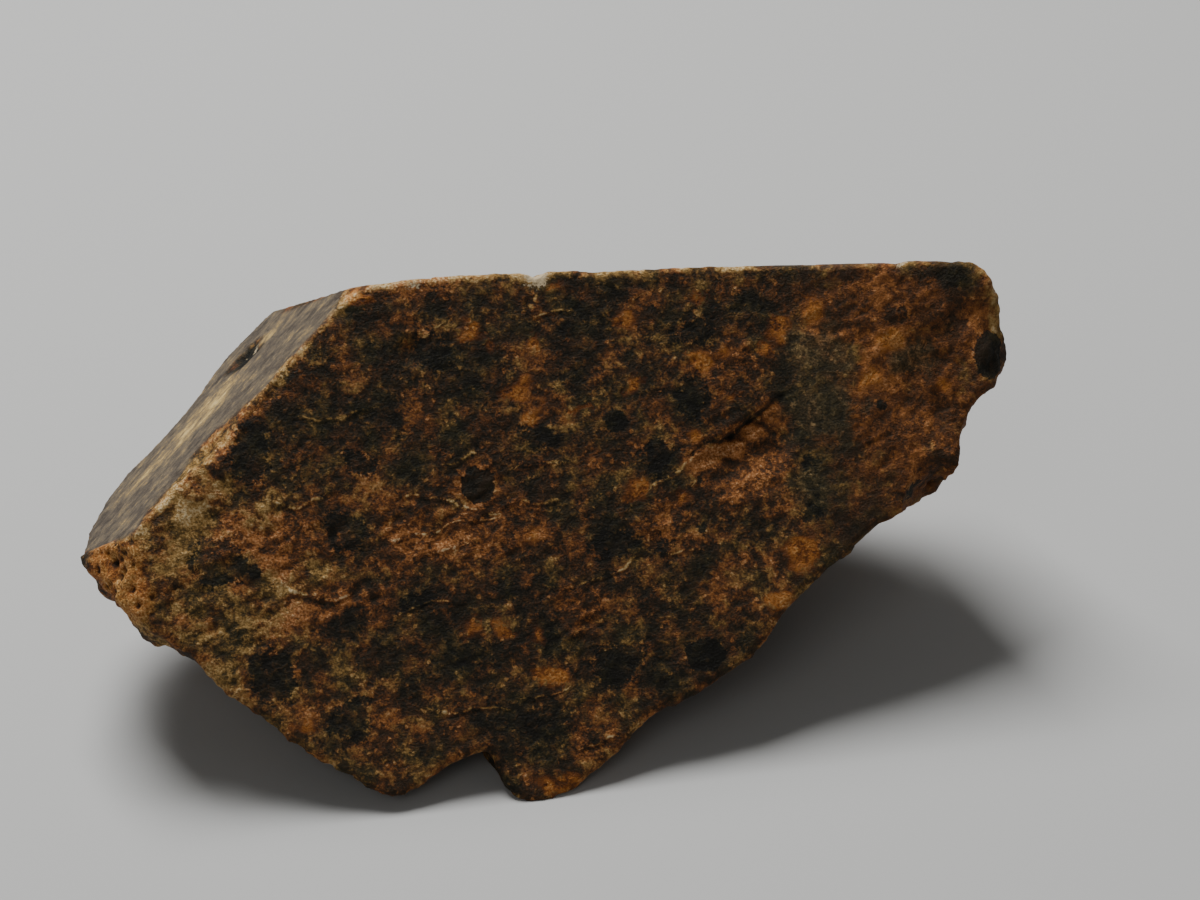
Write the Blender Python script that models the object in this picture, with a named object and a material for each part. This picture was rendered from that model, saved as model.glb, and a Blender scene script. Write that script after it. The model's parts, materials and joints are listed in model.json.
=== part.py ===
"""A chondrite meteorite: one sawn chunk of stone, lying on a small flat spot.

The stone is described in the frame of its big sawn face. u runs to the right
along the face, v runs up it, and w runs straight back into the stone. All
three are in millimetres from the foot of the bump that touches the ground.
The face leans back, so the stone is turned by that lean at the end, cut flat
where it touches the ground, and moved so that the middle of its footprint
box is the origin. The finished mesh is in metres, with +Z up.
"""
import math

import bpy
import bmesh
from mathutils import Matrix, Vector, kdtree, noise
from mathutils.geometry import delaunay_2d_cdt

MM = 0.001

# How the big sawn face stands
FACE_LEAN = math.radians(35.0)

# Spacing of the points on the surface
EDGE_STEP = 0.56
FACE_STEP = 0.84
FACE_CLEARANCE = 0.42
SIDE_RINGS = 12
SHOULDER_STEP = 0.42
BACK_STEP = 0.95
BACK_CROWDING = 0.98

# The left saw cut crosses the face along a straight line and opens outward
LEFT_CUT_POINT = Vector((-9.1, 17.8))
LEFT_CUT_ALONG = Vector((0.738, 0.675)).normalized()
LEFT_CUT_FLARE = math.tan(math.radians(12.0))

# The top saw cut is nearly square to the face and dips a little as it goes back
TOP_CUT_POINT = Vector((-4.3, 21.7))
TOP_CUT_ALONG = Vector((1.0, -0.052)).normalized()
TOP_CUT_DIP = math.tan(math.radians(3.4))

# The outline of the big face, clockwise from its left tip, as (u, v)
LEFT_SAW_EDGE = (
    (-17.25, 11.7), (-16.5, 12.0), (-16.0, 12.15), (-15.1, 12.35), (-14.4, 12.9),
    (-13.8, 13.35), (-13.0, 14.1), (-12.3, 14.75), (-11.7, 15.1), (-10.8, 15.5),
    (-10.3, 16.45), (-9.6, 17.25), (-9.1, 17.75), (-8.5, 18.3), (-7.9, 18.8),
    (-7.3, 19.45), (-6.5, 20.15), (-5.6, 21.0), (-4.8, 21.4),
)
TOP_SAW_EDGE = (
    (-4.2, 21.6), (-3.3, 21.6), (-2.9, 21.7), (-1.1, 21.65), (0.9, 21.6), (2.0, 21.5), (2.4, 21.25),
    (2.8, 21.5), (5.1, 21.3), (9.2, 21.1), (13.4, 20.8), (17.2, 20.55), (17.6, 20.4), (18.0, 20.55),
)
RIGHT_BREAK_EDGE = (
    (20.8, 20.25), (21.2, 19.95), (21.6, 19.5), (21.9, 18.5), (22.0, 17.5), (22.1, 16.8),
    (22.0, 16.1), (21.8, 15.5), (21.5, 15.0), (21.0, 14.8), (20.4, 14.6), (20.1, 14.1),
    (19.8, 13.5), (19.5, 12.9), (19.4, 12.1), (19.3, 11.6), (19.1, 11.2), (18.7, 10.9),
)
LOWER_RIGHT_EDGE = (
    (18.25, 10.6), (17.5, 10.15), (17.0, 10.0), (16.3, 9.95), (15.6, 9.75), (14.8, 9.1), (14.3, 8.6),
    (13.6, 8.3), (12.9, 7.8), (12.0, 7.1), (11.5, 6.7), (11.1, 6.3), (10.6, 5.7),
    (10.1, 5.1), (9.6, 4.7), (8.3, 4.1), (7.0, 3.5), (5.7, 3.1), (5.0, 2.6),
    (4.6, 2.3), (3.9, 1.6), (3.0, 1.0), (2.3, 0.6), (1.9, 0.3), (1.3, 0.0), (0.6, -0.1),
)
LOWER_LEFT_EDGE = (
    (0.0, -0.1), (-0.4, 0.1), (-0.7, 0.35), (-0.9, 0.8), (-1.1, 1.6), (-1.25, 2.05),
    (-1.5, 2.3), (-2.0, 2.15), (-2.6, 2.0), (-3.1, 1.8), (-3.7, 1.5), (-4.2, 1.2),
    (-4.8, 0.8), (-5.2, 0.7), (-6.0, 0.9), (-6.4, 1.2), (-7.2, 1.8), (-8.1, 2.4),
    (-9.0, 3.2), (-9.6, 3.7), (-10.1, 4.3), (-10.9, 5.0), (-11.8, 5.7), (-12.5, 6.7),
    (-12.8, 7.2), (-13.4, 7.7), (-13.9, 8.1), (-14.5, 8.6), (-15.0, 9.2), (-15.6, 9.6),
    (-16.0, 10.0), (-16.6, 10.9), (-17.1, 11.3),
)

# The far edge of the left cut, as (distance along the cut from its point, depth)
LEFT_SAW_FAR_EDGE = (
    (-9.7, 4.6), (-9.0, 6.6), (-7.9, 8.0), (-6.4, 8.8), (-5.0, 8.3),
    (-3.4, 8.2), (-2.0, 8.4), (-0.8, 9.3), (0.5, 9.8), (1.5, 9.6),
)
# The far edge of the top cut, as (u, depth)
TOP_SAW_FAR_EDGE = ((-5.8, 9.9), (-2.5, 10.4), (1.0, 9.6), (5.5, 9.9), (9.5, 9.0), (13.5, 8.6), (17.0, 8.9))
TOP_LEFT_CORNER_DEPTH = 9.1
TOP_RIGHT_CORNER = (20.6, 8.0)

# Where the weathered sides turn over into the back, as (u, v, w)
RIGHT_BREAK_FAR_EDGE = ((21.0, 18.4, 7.2), (20.9, 16.8, 6.8), (20.2, 15.0, 7.1), (19.2, 13.5, 7.6))
LOWER_RIGHT_FAR_EDGE = (
    (17.6, 12.0, 7.8), (13.8, 10.4, 8.4), (10.4, 9.2, 8.8), (7.6, 8.0, 8.8), (5.0, 5.8, 8.8), (2.6, 4.4, 8.6),
)
LOWER_LEFT_FAR_EDGE = (
    (-0.2, 4.8, 8.5), (-2.6, 8.0, 8.6), (-6.0, 9.6, 8.7),
    (-9.8, 10.2, 8.6), (-13.0, 10.6, 8.0), (-15.6, 11.1, 6.1),
)

# How far each weathered side swells between its two edges, and the share of it where that fades next to a cut
RIGHT_SWELL = 0.45
LOWER_RIGHT_SWELL = 0.5
LOWER_LEFT_SWELL = 0.2
SWELL_FADE = 0.25

# The chips and notches of the face's edge die out this far behind it
CHIP_REACH = 1.3
NOTCH_REACH = 4.5
NOTCH_BLUR = 5

# The back rises from the far edge over a rounded shoulder to a low dome about a middle point
BACK_CENTRE = Vector((3.2, 10.6))
BACK_DEPTH = 14.1
BACK_FALL = 0.015
SHOULDER_WIDTH = 5.5
SHOULDER_POWER = 2.3
SHOULDER_BLEND = 9

# The worn corner between the big face and the sides, wide where the edge is broken and thin where it is sawn
BROKEN_WEAR_WIDTH = 0.3
SAWN_WEAR_WIDTH = 0.14
WEAR_SLOPE = 0.55

# Places where the face has broken away past a line: point, outward direction, slope and roughness
FACE_BREAKS = (
    (Vector((-14.95, 10.5)), Vector((-1.0, 0.12)).normalized(), 1.2, 0.28),
    (Vector((21.2, 17.5)), Vector((1.0, -0.1)).normalized(), 0.9, 0.15),
)
BREAK_GRAIN_SIZE = 0.77

# Shallow hollows in the face: middle, half width, half height, turn in degrees and depth
FACE_HOLLOWS = (
    (Vector((10.4, 13.3)), 2.6, 1.3, 30.0, 0.30),
    (Vector((18.4, 15.3)), 2.5, 3.2, 0.0, 0.28),
    (Vector((20.6, 18.2)), 1.4, 1.2, 0.0, 0.20),
    (Vector((-11.5, 13.0)), 2.2, 0.8, 44.0, 0.22),
    (Vector((-2.9, 18.8)), 0.55, 0.8, 25.0, 0.30),
    (Vector((18.0, 10.8)), 1.6, 0.8, 36.0, 1.7),
)
HOLLOW_ROUGHNESS = 0.8
HOLLOW_GRAIN_SIZE = 1.25
HOLLOW_STEEPNESS = 1.6

# The fissure in the face: a sharp upper lip over a hollow that rises slowly below it
FISSURE_START = Vector((7.4, 12.8))
FISSURE_END = Vector((12.05, 15.6))
FISSURE_DEPTH = 0.75
FISSURE_LIP_WIDTH = 0.16
FISSURE_WIDTH = 1.5
FISSURE_STEP = 0.5
FISSURE_ROWS = (-0.02, FISSURE_LIP_WIDTH, 0.5)
FISSURE_CLEARANCE = 0.4
FISSURE_DEEPEST_AT = 0.72

# Lumps and scoops of the weathered skin: middle (u, v, w), radius and height, which is below 0 for a scoop
LUMPS = (
    (Vector((21.9, 16.2, 1.5)), 1.5, 0.55),
    (Vector((9.8, 5.6, 5.4)), 2.2, 0.55),
    (Vector((-9.9, 5.6, 3.6)), 2.3, 0.60),
    (Vector((15.6, 11.6, 11.6)), 2.8, 0.70),
    (Vector((-7.6, 16.4, 12.0)), 3.0, 0.80),
    (Vector((7.8, 17.6, 13.4)), 3.2, 0.80),
    (Vector((22.4, 17.8, 3.8)), 1.8, -0.45),
    (Vector((-3.0, 19.2, 12.8)), 2.8, -0.90),
    (Vector((13.4, 15.8, 12.8)), 2.6, -0.90),
    (Vector((12.8, 7.0, 4.2)), 1.9, -0.60),
    (Vector((-13.6, 7.6, 4.6)), 2.0, -0.65),
    (Vector((-12.6, 13.8, 10.8)), 2.3, -0.80),
    (Vector((2.4, 13.8, 14.4)), 2.2, -0.60),
)
# The small hollow in the left saw cut, as distance along it, depth and radius
VUG_ALONG = 0.85
VUG_DEPTH = 6.9
VUG_RADIUS = 0.95
VUG_CLEARANCE = 0.35

# The relief of the weathered skin, in millimetres
SWELLS_SIZE = 8.0
SWELLS_HEIGHT = 0.9
LEDGES_SIZE = 4.3
LEDGES_TILT = 0.52
LEDGES_SHUFFLE = 3.7
LEDGES_SWAY = 0.9
KNOBS_SIZE = 1.9
KNOBS_HEIGHT = 0.34
RELIEF_FADE = 1.7
SKIN_SMOOTHING = 0.35
NOISE_OFFSET = Vector((41.7, -12.3, 8.9))
NOISE_SEED = 7

# Points this near the ground plane are put on it before the flat spot is cut, and lengths that count as none
GROUND_SNAP = 0.06
GROUND_ROUNDING = 1e-5
CUT_ROUNDING = 1e-4
FLAT_ROUNDING = 1e-5

STONE_COLOUR = (0.085, 0.040, 0.018, 1.0)
STONE_ROUGHNESS = 0.72


def clear_scene():
    """Remove whatever the file holds."""
    for obj in list(bpy.data.objects):
        bpy.data.objects.remove(obj, do_unlink=True)


def smooth(x):
    """Rise smoothly from 0 to 1 while x goes from 0 to 1."""
    x = min(max(x, 0.0), 1.0)
    return x * x * (3.0 - 2.0 * x)


def lateral(along):
    """The direction in the face that points left of a direction."""
    return Vector((-along.y, along.x))


def left_cut(distance, depth):
    """A point of the left saw cut, from its distance along the cut and its depth."""
    place = LEFT_CUT_POINT + LEFT_CUT_ALONG * distance
    place = place + lateral(LEFT_CUT_ALONG) * LEFT_CUT_FLARE * depth
    return Vector((place.x, place.y, depth))


def top_cut(u, depth):
    """A point of the top saw cut, from its place along the face and its depth."""
    distance = (u - TOP_CUT_POINT.x) / TOP_CUT_ALONG.x
    v = TOP_CUT_POINT.y + TOP_CUT_ALONG.y * distance
    return Vector((u, v - TOP_CUT_DIP * depth, depth))


def cuts_corner(depth):
    """Where the left and the top saw cuts meet at a depth."""
    start = left_cut(0.0, depth)
    lift = top_cut(start.x, depth).y - start.y
    climb = LEFT_CUT_ALONG.y - LEFT_CUT_ALONG.x * TOP_CUT_ALONG.y / TOP_CUT_ALONG.x
    return left_cut(lift / climb, depth)


def resample(points, step):
    """Even points along a line through the given ones, without its last point."""
    lengths = [(b - a).length for a, b in zip(points, points[1:])]
    total = sum(lengths)
    count = max(2, round(total / step))
    placed, index, walked = [], 0, 0.0
    for number in range(count):
        target = total * number / count
        while index < len(lengths) - 1 and walked + lengths[index] < target:
            walked += lengths[index]
            index += 1
        share = (target - walked) / lengths[index]
        placed.append(points[index].lerp(points[index + 1], share))
    return placed


def resample_to(points, count):
    """A given number of even points along a line, without its last point."""
    total = sum((b - a).length for a, b in zip(points, points[1:]))
    return resample(points, total / count)


def face_sides():
    """The five sides of the stone: their edge on the face, far edge, swell and whether they are sawn."""
    top_left = cuts_corner(TOP_LEFT_CORNER_DEPTH)
    top_right = top_cut(*TOP_RIGHT_CORNER)
    left_far = [left_cut(*place) for place in LEFT_SAW_FAR_EDGE]
    top_far = [top_left] + [top_cut(*place) for place in TOP_SAW_FAR_EDGE]
    right_far = [top_right] + [Vector(place) for place in RIGHT_BREAK_FAR_EDGE]
    lower_right_far = [Vector(place) for place in LOWER_RIGHT_FAR_EDGE]
    lower_left_far = [Vector(place) for place in LOWER_LEFT_FAR_EDGE]
    return (
        (LEFT_SAW_EDGE, left_far, 0.0, True),
        (TOP_SAW_EDGE, top_far, 0.0, True),
        (RIGHT_BREAK_EDGE, right_far, RIGHT_SWELL, False),
        (LOWER_RIGHT_EDGE, lower_right_far, LOWER_RIGHT_SWELL, False),
        (LOWER_LEFT_EDGE, lower_left_far, LOWER_LEFT_SWELL, False),
    )


def side_columns():
    """Matched points of the face's edge and the far edge, all the way round, with swell and kind."""
    sides = face_sides()
    columns = []
    for number, (edge, far, swell, sawn) in enumerate(sides):
        next_edge, next_far = sides[(number + 1) % len(sides)][:2]
        near_line = [Vector(place) for place in edge] + [Vector(next_edge[0])]
        near_points = resample(near_line, EDGE_STEP)
        far_points = resample_to(far + [next_far[0]], len(near_points))
        after_cut = sides[number - 1][3]
        before_cut = sides[(number + 1) % len(sides)][3]
        for index, (near, end) in enumerate(zip(near_points, far_points)):
            share = index / len(near_points)
            full = smooth(share / SWELL_FADE) if after_cut else 1.0
            full *= smooth((1.0 - share) / SWELL_FADE) if before_cut else 1.0
            columns.append((near, end, swell * full, sawn))
    return columns


def blurred(places, passes):
    """The outline without its small notches."""
    for _ in range(passes):
        count = len(places)
        places = [(places[i - 1] + places[i] * 2.0 + places[(i + 1) % count]) / 4.0 for i in range(count)]
    return places


def plain_start(place, depth, smoothed, sawn):
    """Where a column would start if the edge had no chips or notches."""
    if not sawn:
        return Vector((smoothed.x, smoothed.y, depth))
    on_left = left_cut((place - LEFT_CUT_POINT).dot(LEFT_CUT_ALONG), depth)
    on_top = top_cut(place.x, depth)
    flat = Vector((place.x, place.y, depth))
    return on_left if (on_left - flat).length < (on_top - flat).length else on_top


def fissure_depth(place):
    """How deep the fissure is at a place on the face."""
    along = (FISSURE_END - FISSURE_START).normalized()
    length = (FISSURE_END - FISSURE_START).length
    share = (place - FISSURE_START).dot(along) / length
    below = -(place - FISSURE_START).dot(lateral(along))
    if not 0.0 < share < 1.0 or not 0.0 < below < FISSURE_WIDTH:
        return 0.0
    rise = share / FISSURE_DEEPEST_AT
    fall = (1.0 - share) / (1.0 - FISSURE_DEEPEST_AT)
    strength = smooth(min(rise, fall))
    lip = min(below / FISSURE_LIP_WIDTH, 1.0)
    slope = 1.0 - smooth(below / FISSURE_WIDTH)
    return FISSURE_DEPTH * strength * lip * slope


def hollow_depth(place):
    """How deep the shallow, rough hollows are at a place on the face."""
    flat = Vector((place.x, place.y, 0.0))
    grain = 1.0 + HOLLOW_ROUGHNESS * noise.noise(flat / HOLLOW_GRAIN_SIZE - NOISE_OFFSET)
    deepest = 0.0
    for middle, half_width, half_height, turn, depth in FACE_HOLLOWS:
        offset = place - middle
        offset.rotate(Matrix.Rotation(-math.radians(turn), 2))
        reach = math.hypot(offset.x / half_width, offset.y / half_height)
        deepest = max(deepest, depth * grain * smooth(HOLLOW_STEEPNESS * (1.0 - reach)))
    return deepest


def break_depth(place):
    """How far the face has broken away at its corners."""
    deepest = 0.0
    for point, outward, slope, roughness in FACE_BREAKS:
        past = (place - point).dot(outward)
        grain = noise.noise(Vector((place.x, place.y, 0.0)) / BREAK_GRAIN_SIZE + NOISE_OFFSET)
        if past > 0.0:
            deepest = max(deepest, past * slope + roughness * grain * smooth(past))
    return deepest


def face_point(place):
    """The point of the face at a place, set back where the face is hollow or broken."""
    depth = fissure_depth(place) + hollow_depth(place) + break_depth(place)
    return Vector((place.x, place.y, max(depth, 0.0)))


def fissure_points():
    """Extra places on the face that follow the fissure's lip and its foot."""
    along = (FISSURE_END - FISSURE_START).normalized()
    length = (FISSURE_END - FISSURE_START).length
    count = round(length / FISSURE_STEP)
    return [
        FISSURE_START + along * (length * number / count) - lateral(along) * row
        for number in range(count + 1)
        for row in FISSURE_ROWS
    ]


def grid_points(outline, step):
    """Evenly staggered places over the box of an outline."""
    left = min(place.x for place in outline)
    right = max(place.x for place in outline)
    low = min(place.y for place in outline)
    high = max(place.y for place in outline)
    row_height = step * math.sqrt(3.0) / 2.0
    points = []
    for row in range(int((high - low) / row_height) + 1):
        shift = step / 2.0 if row % 2 else 0.0
        for column in range(int((right - left) / step) + 1):
            points.append(Vector((left + shift + column * step, low + row * row_height)))
    return points


def clear_of(points, others, gap):
    """The points that are at least a gap away from all the others."""
    tree = kdtree.KDTree(len(others))
    for index, other in enumerate(others):
        tree.insert((other.x, other.y, 0.0), index)
    tree.balance()
    return [point for point in points if tree.find((point.x, point.y, 0.0))[2] > gap]


def close_with_triangles(mesh, rim, inner, lift):
    """Fill a closed rim of vertices with triangles through the inner places."""
    outline = [Vector((vertex.co.x, vertex.co.y)) for vertex in rim]
    count = len(outline)
    edges = [(index, (index + 1) % count) for index in range(count)]
    flat, _, triangles, sources, _, _ = delaunay_2d_cdt(outline + inner, edges, [], 1, FLAT_ROUNDING)
    vertices = {}
    for triangle in triangles:
        corners = []
        for index in triangle:
            if index not in vertices:
                source = sources[index][0] if sources[index] else count
                vertices[index] = rim[source] if source < count else mesh.verts.new(lift(flat[index]))
            corners.append(vertices[index])
        mesh.faces.new(corners)
    return list(vertices.values())


def bridge(mesh, first, second):
    """Join two rings of vertices with pairs of triangles."""
    count = len(first)
    for index in range(count):
        after = (index + 1) % count
        mesh.faces.new((first[index], first[after], second[index]))
        mesh.faces.new((first[after], second[after], second[index]))


def wear_width(sawn):
    """How wide the worn corner is at a sawn or a broken edge."""
    return SAWN_WEAR_WIDTH if sawn else BROKEN_WEAR_WIDTH


def worn_rim(columns):
    """The ring just inside the face's edge, where the worn corner begins."""
    count = len(columns)
    ring = []
    for index, (near, _, _, sawn) in enumerate(columns):
        before = columns[index - 1][0]
        after = columns[(index + 1) % count][0]
        inward = -lateral((after - before).normalized())
        ring.append(near + inward * wear_width(sawn))
    return ring


def side_ring(columns, share):
    """One ring of points round the sides, a share of the way from the face to the far edge."""
    count = len(columns)
    smoothed = blurred([column[0] for column in columns], NOTCH_BLUR)
    ring = []
    for index, (near, far, swell, sawn) in enumerate(columns):
        start = face_point(near)
        start.z += wear_width(sawn) * WEAR_SLOPE
        plain = plain_start(near, start.z, smoothed[index], sawn)
        reach = CHIP_REACH if sawn else NOTCH_REACH
        chip = (start - plain) * (1.0 - smooth(share * (far.z - start.z) / reach))
        outward = lateral((smoothed[(index + 1) % count] - smoothed[index - 1]).normalized())
        bulge = swell * math.sin(math.pi * share)
        ring.append(plain.lerp(far, share) + chip + Vector((outward.x, outward.y, 0.0)) * bulge)
    return ring


class Back:
    """The weathered back, closed over the far edge of the sides."""

    def __init__(self, far_edge):
        self.far_edge = far_edge
        self.tree = kdtree.KDTree(len(far_edge))
        for index, point in enumerate(far_edge):
            self.tree.insert((point.x, point.y, 0.0), index)
        self.tree.balance()

    def inset(self, place):
        """How far a place lies inside the far edge."""
        return self.tree.find((place.x, place.y, 0.0))[2]

    def point(self, place):
        """The point of the back over a place in the plane of the face."""
        near = self.tree.find_n((place.x, place.y, 0.0), SHOULDER_BLEND)
        edge_depth = sum(self.far_edge[index].z for _, index, _ in near) / len(near)
        reach = (place - BACK_CENTRE).length
        dome = BACK_DEPTH - BACK_FALL * reach * reach
        risen = 1.0 - (1.0 - min(self.inset(place) / SHOULDER_WIDTH, 1.0)) ** SHOULDER_POWER
        return Vector((place.x, place.y, edge_depth + (dome - edge_depth) * risen))

    def places(self):
        """Places spread over the back, closer together on the steep shoulder."""
        kept = []
        for place in grid_points(self.far_edge, SHOULDER_STEP):
            inset = self.inset(place)
            share = min(inset / SHOULDER_WIDTH, 1.0)
            gap = SHOULDER_STEP + (BACK_STEP - SHOULDER_STEP) * share
            if inset > SHOULDER_STEP and all((place - other).length > gap * BACK_CROWDING for other in kept):
                kept.append(place)
        return kept


def skin_relief(point):
    """How far the weathered skin stands out at a point: swells, broken ledges and knobs."""
    swells = noise.noise(point / SWELLS_SIZE + NOISE_OFFSET)
    swells += 0.5 * noise.noise(point * 2.0 / SWELLS_SIZE - NOISE_OFFSET)
    swayed = point + noise.noise_vector(point / LEDGES_SIZE + NOISE_OFFSET) * LEDGES_SWAY
    cell = noise.voronoi(swayed / LEDGES_SIZE)[1][0] * LEDGES_SIZE
    tilt = noise.cell_vector(cell * LEDGES_SHUFFLE + NOISE_OFFSET) - Vector((0.5, 0.5, 0.5))
    ledges = (swayed - cell).dot(tilt)
    knobs = 0.5 - noise.voronoi(point / KNOBS_SIZE + NOISE_OFFSET)[0][0]
    return SWELLS_HEIGHT * swells + LEDGES_TILT * ledges + KNOBS_HEIGHT * knobs


def lump_height(point):
    """How far the single lumps and scoops stand out at a point."""
    return sum(height * smooth(1.0 - (point - middle).length / radius) for middle, radius, height in LUMPS)


def raise_relief(mesh, sawn):
    """Give the weathered skin its relief, which dies out towards the sawn faces."""
    tree = kdtree.KDTree(len(sawn))
    for index, vertex in enumerate(sawn):
        tree.insert(vertex.co, index)
    tree.balance()
    mesh.normal_update()
    kept = set(sawn)
    moves = []
    for vertex in mesh.verts:
        if vertex not in kept:
            fade = smooth(tree.find(vertex.co)[2] / RELIEF_FADE)
            height = skin_relief(vertex.co) * fade + lump_height(vertex.co)
            moves.append((vertex, vertex.normal * height))
    for vertex, move in moves:
        vertex.co += move
    skin = [vertex for vertex in mesh.verts if vertex not in kept]
    bmesh.ops.smooth_vert(
        mesh, verts=skin, factor=SKIN_SMOOTHING, use_axis_x=True, use_axis_y=True, use_axis_z=True
    )


def press_ball(vertices, middle, radius):
    """Push the vertices inside a ball out to its surface."""
    for vertex in vertices:
        offset = vertex.co - middle
        if 0.0 < offset.length < radius:
            vertex.co = middle + offset.normalized() * radius


def vug_ball():
    """The ball that hollows the vug out of the left saw cut."""
    foot = left_cut(VUG_ALONG, VUG_DEPTH)
    side = lateral(LEFT_CUT_ALONG)
    outward = Vector((side.x, side.y, -LEFT_CUT_FLARE)).normalized()
    return foot + outward * VUG_CLEARANCE, VUG_RADIUS


def build_body():
    """The whole stone before its flat spot is cut, in the frame of the face."""
    mesh = bmesh.new()
    columns = side_columns()

    rim_places = worn_rim(columns)
    rim = [mesh.verts.new(face_point(place)) for place in rim_places]
    near = [column[0] for column in columns]
    inner = clear_of(fissure_points(), near, FISSURE_CLEARANCE)
    inner += clear_of(grid_points(near, FACE_STEP), near + rim_places + inner, FACE_CLEARANCE)
    face = close_with_triangles(mesh, rim, inner, face_point)

    rings = [rim]
    sawn = list(face)
    for number in range(SIDE_RINGS + 1):
        points = side_ring(columns, number / SIDE_RINGS)
        ring = [mesh.verts.new(point) for point in points]
        rings.append(ring)
        for vertex, column in zip(ring, columns):
            if number == 0 or column[3]:
                sawn.append(vertex)
    for first, second in zip(rings, rings[1:]):
        bridge(mesh, first, second)

    back = Back([column[1] for column in columns])
    close_with_triangles(mesh, rings[-1], back.places(), back.point)
    bmesh.ops.recalc_face_normals(mesh, faces=mesh.faces[:])

    raise_relief(mesh, sawn)
    press_ball(sawn, *vug_ball())
    return mesh


def stand_up(mesh):
    """Turn the stone from the frame of its face to the way it lies on the ground."""
    up = Vector((0.0, math.sin(FACE_LEAN), math.cos(FACE_LEAN)))
    into = Vector((0.0, math.cos(FACE_LEAN), -math.sin(FACE_LEAN)))
    for vertex in mesh.verts:
        u, v, w = vertex.co
        vertex.co = Vector((u, 0.0, 0.0)) + up * v + into * w


def cut_flat_spot(mesh):
    """Cut the underside off level with the ground and close the cut."""
    for vertex in mesh.verts:
        if abs(vertex.co.z) < GROUND_SNAP:
            vertex.co.z = 0.0
    everything = mesh.verts[:] + mesh.edges[:] + mesh.faces[:]
    bmesh.ops.bisect_plane(
        mesh,
        geom=everything,
        dist=CUT_ROUNDING,
        plane_co=(0.0, 0.0, 0.0),
        plane_no=(0.0, 0.0, -1.0),
        clear_outer=True,
    )
    level = [face for face in mesh.faces if all(vertex.co.z < GROUND_ROUNDING for vertex in face.verts)]
    bmesh.ops.delete(mesh, geom=level, context="FACES")
    open_edges = [edge for edge in mesh.edges if edge.is_boundary]
    bmesh.ops.holes_fill(mesh, edges=open_edges, sides=0)
    bmesh.ops.triangulate(mesh, faces=mesh.faces[:])
    bmesh.ops.recalc_face_normals(mesh, faces=mesh.faces[:])


def settle_on_origin(mesh):
    """Move the stone so that the middle of its footprint box is the origin, in metres."""
    xs = [vertex.co.x for vertex in mesh.verts]
    ys = [vertex.co.y for vertex in mesh.verts]
    zs = [vertex.co.z for vertex in mesh.verts]
    middle = Vector(((min(xs) + max(xs)) / 2.0, (min(ys) + max(ys)) / 2.0, min(zs)))
    for vertex in mesh.verts:
        vertex.co = (vertex.co - middle) * MM


def stone_material():
    """Dark, rusty brown chondrite."""
    material = bpy.data.materials.new("chondrite")
    material.use_nodes = True
    shader = material.node_tree.nodes["Principled BSDF"]
    shader.inputs["Base Color"].default_value = STONE_COLOUR
    shader.inputs["Roughness"].default_value = STONE_ROUGHNESS
    shader.inputs["Metallic"].default_value = 0.0
    return material


def make_stone():
    """Build the stone and link it to the scene."""
    noise.seed_set(NOISE_SEED)
    mesh = build_body()
    stand_up(mesh)
    cut_flat_spot(mesh)
    settle_on_origin(mesh)
    data = bpy.data.meshes.new("stone")
    mesh.to_mesh(data)
    mesh.free()
    data.materials.append(stone_material())
    stone = bpy.data.objects.new("stone", data)
    bpy.context.scene.collection.objects.link(stone)
    return stone


clear_scene()
make_stone()
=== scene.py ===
"""The looks of the chondrite meteorite: its sawn faces and weathered skin, the floor, lights and camera.

Marks are placed in the frame of the big sawn face, in millimetres: u runs to the right along the
face, v runs up it, and w runs straight back into the stone. The scene itself is in metres.
"""
import json
import math

import bmesh
import bpy
import numpy as np
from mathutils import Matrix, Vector, noise
from mathutils.bvhtree import BVHTree
from mathutils.kdtree import KDTree


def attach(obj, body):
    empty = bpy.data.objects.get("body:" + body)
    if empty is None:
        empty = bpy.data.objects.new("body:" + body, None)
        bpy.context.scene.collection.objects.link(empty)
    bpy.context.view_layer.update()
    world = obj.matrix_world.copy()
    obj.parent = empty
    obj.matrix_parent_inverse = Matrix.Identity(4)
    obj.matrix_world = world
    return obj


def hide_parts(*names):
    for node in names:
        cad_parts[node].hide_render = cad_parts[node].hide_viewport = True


MM = 0.001

# The mount on the big face, and where it lies in the frame of the face
FACE_MOUNT = "sawn_face"
FACE_MOUNT_AT = (4.0, 17.0)

# The left and top saw cuts, in the frame of the face
LEFT_CUT_POINT = (-9.1, 17.8)
LEFT_CUT_ALONG = (0.738, 0.675)
LEFT_CUT_FLARE = math.tan(math.radians(12.0))
TOP_CUT_POINT = (-4.3, 21.7)
TOP_CUT_ALONG = (1.0, -0.052)
TOP_CUT_DIP = math.tan(math.radians(3.4))

# The net of the fine surface: its step, how deep it is halved behind the big face, and how deep and
# how near to the left cut it is halved there
NET_STEP = 0.26
FINE_DEPTH = 2.0
LEFT_CUT_FINE_DEPTH = 10.5
LEFT_CUT_FINE_REACH = 0.3

# A point is sawn where it is this near to a cut and faces this much the same way, and the edges of
# the sawn parts are blurred by a few passes of this share
SAWN_TOLERANCE = 0.05
SAWN_FACING = 0.985
SAWN_PASSES = 2
SAWN_SHARE = 0.6

# The skin is softened by these passes, in full from this distance off the saw cuts
SKIN_FADE = 0.9
SKIN_PASSES = 8
SKIN_SHARE = 0.5

# The share of the fissure's depth that is filled under its lip, and the reach of the filling
FISSURE_FILL = 0.5
FISSURE_FILL_REACH = 0.8
FISSURE_FILL_FADE = 1.0

# Farther than any mark reaches, in millimetres
FAR = 9.0

# How far the noise is shifted from one seed to the next
SEED_SHIFT = (13.7, -7.3, 5.9)

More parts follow.
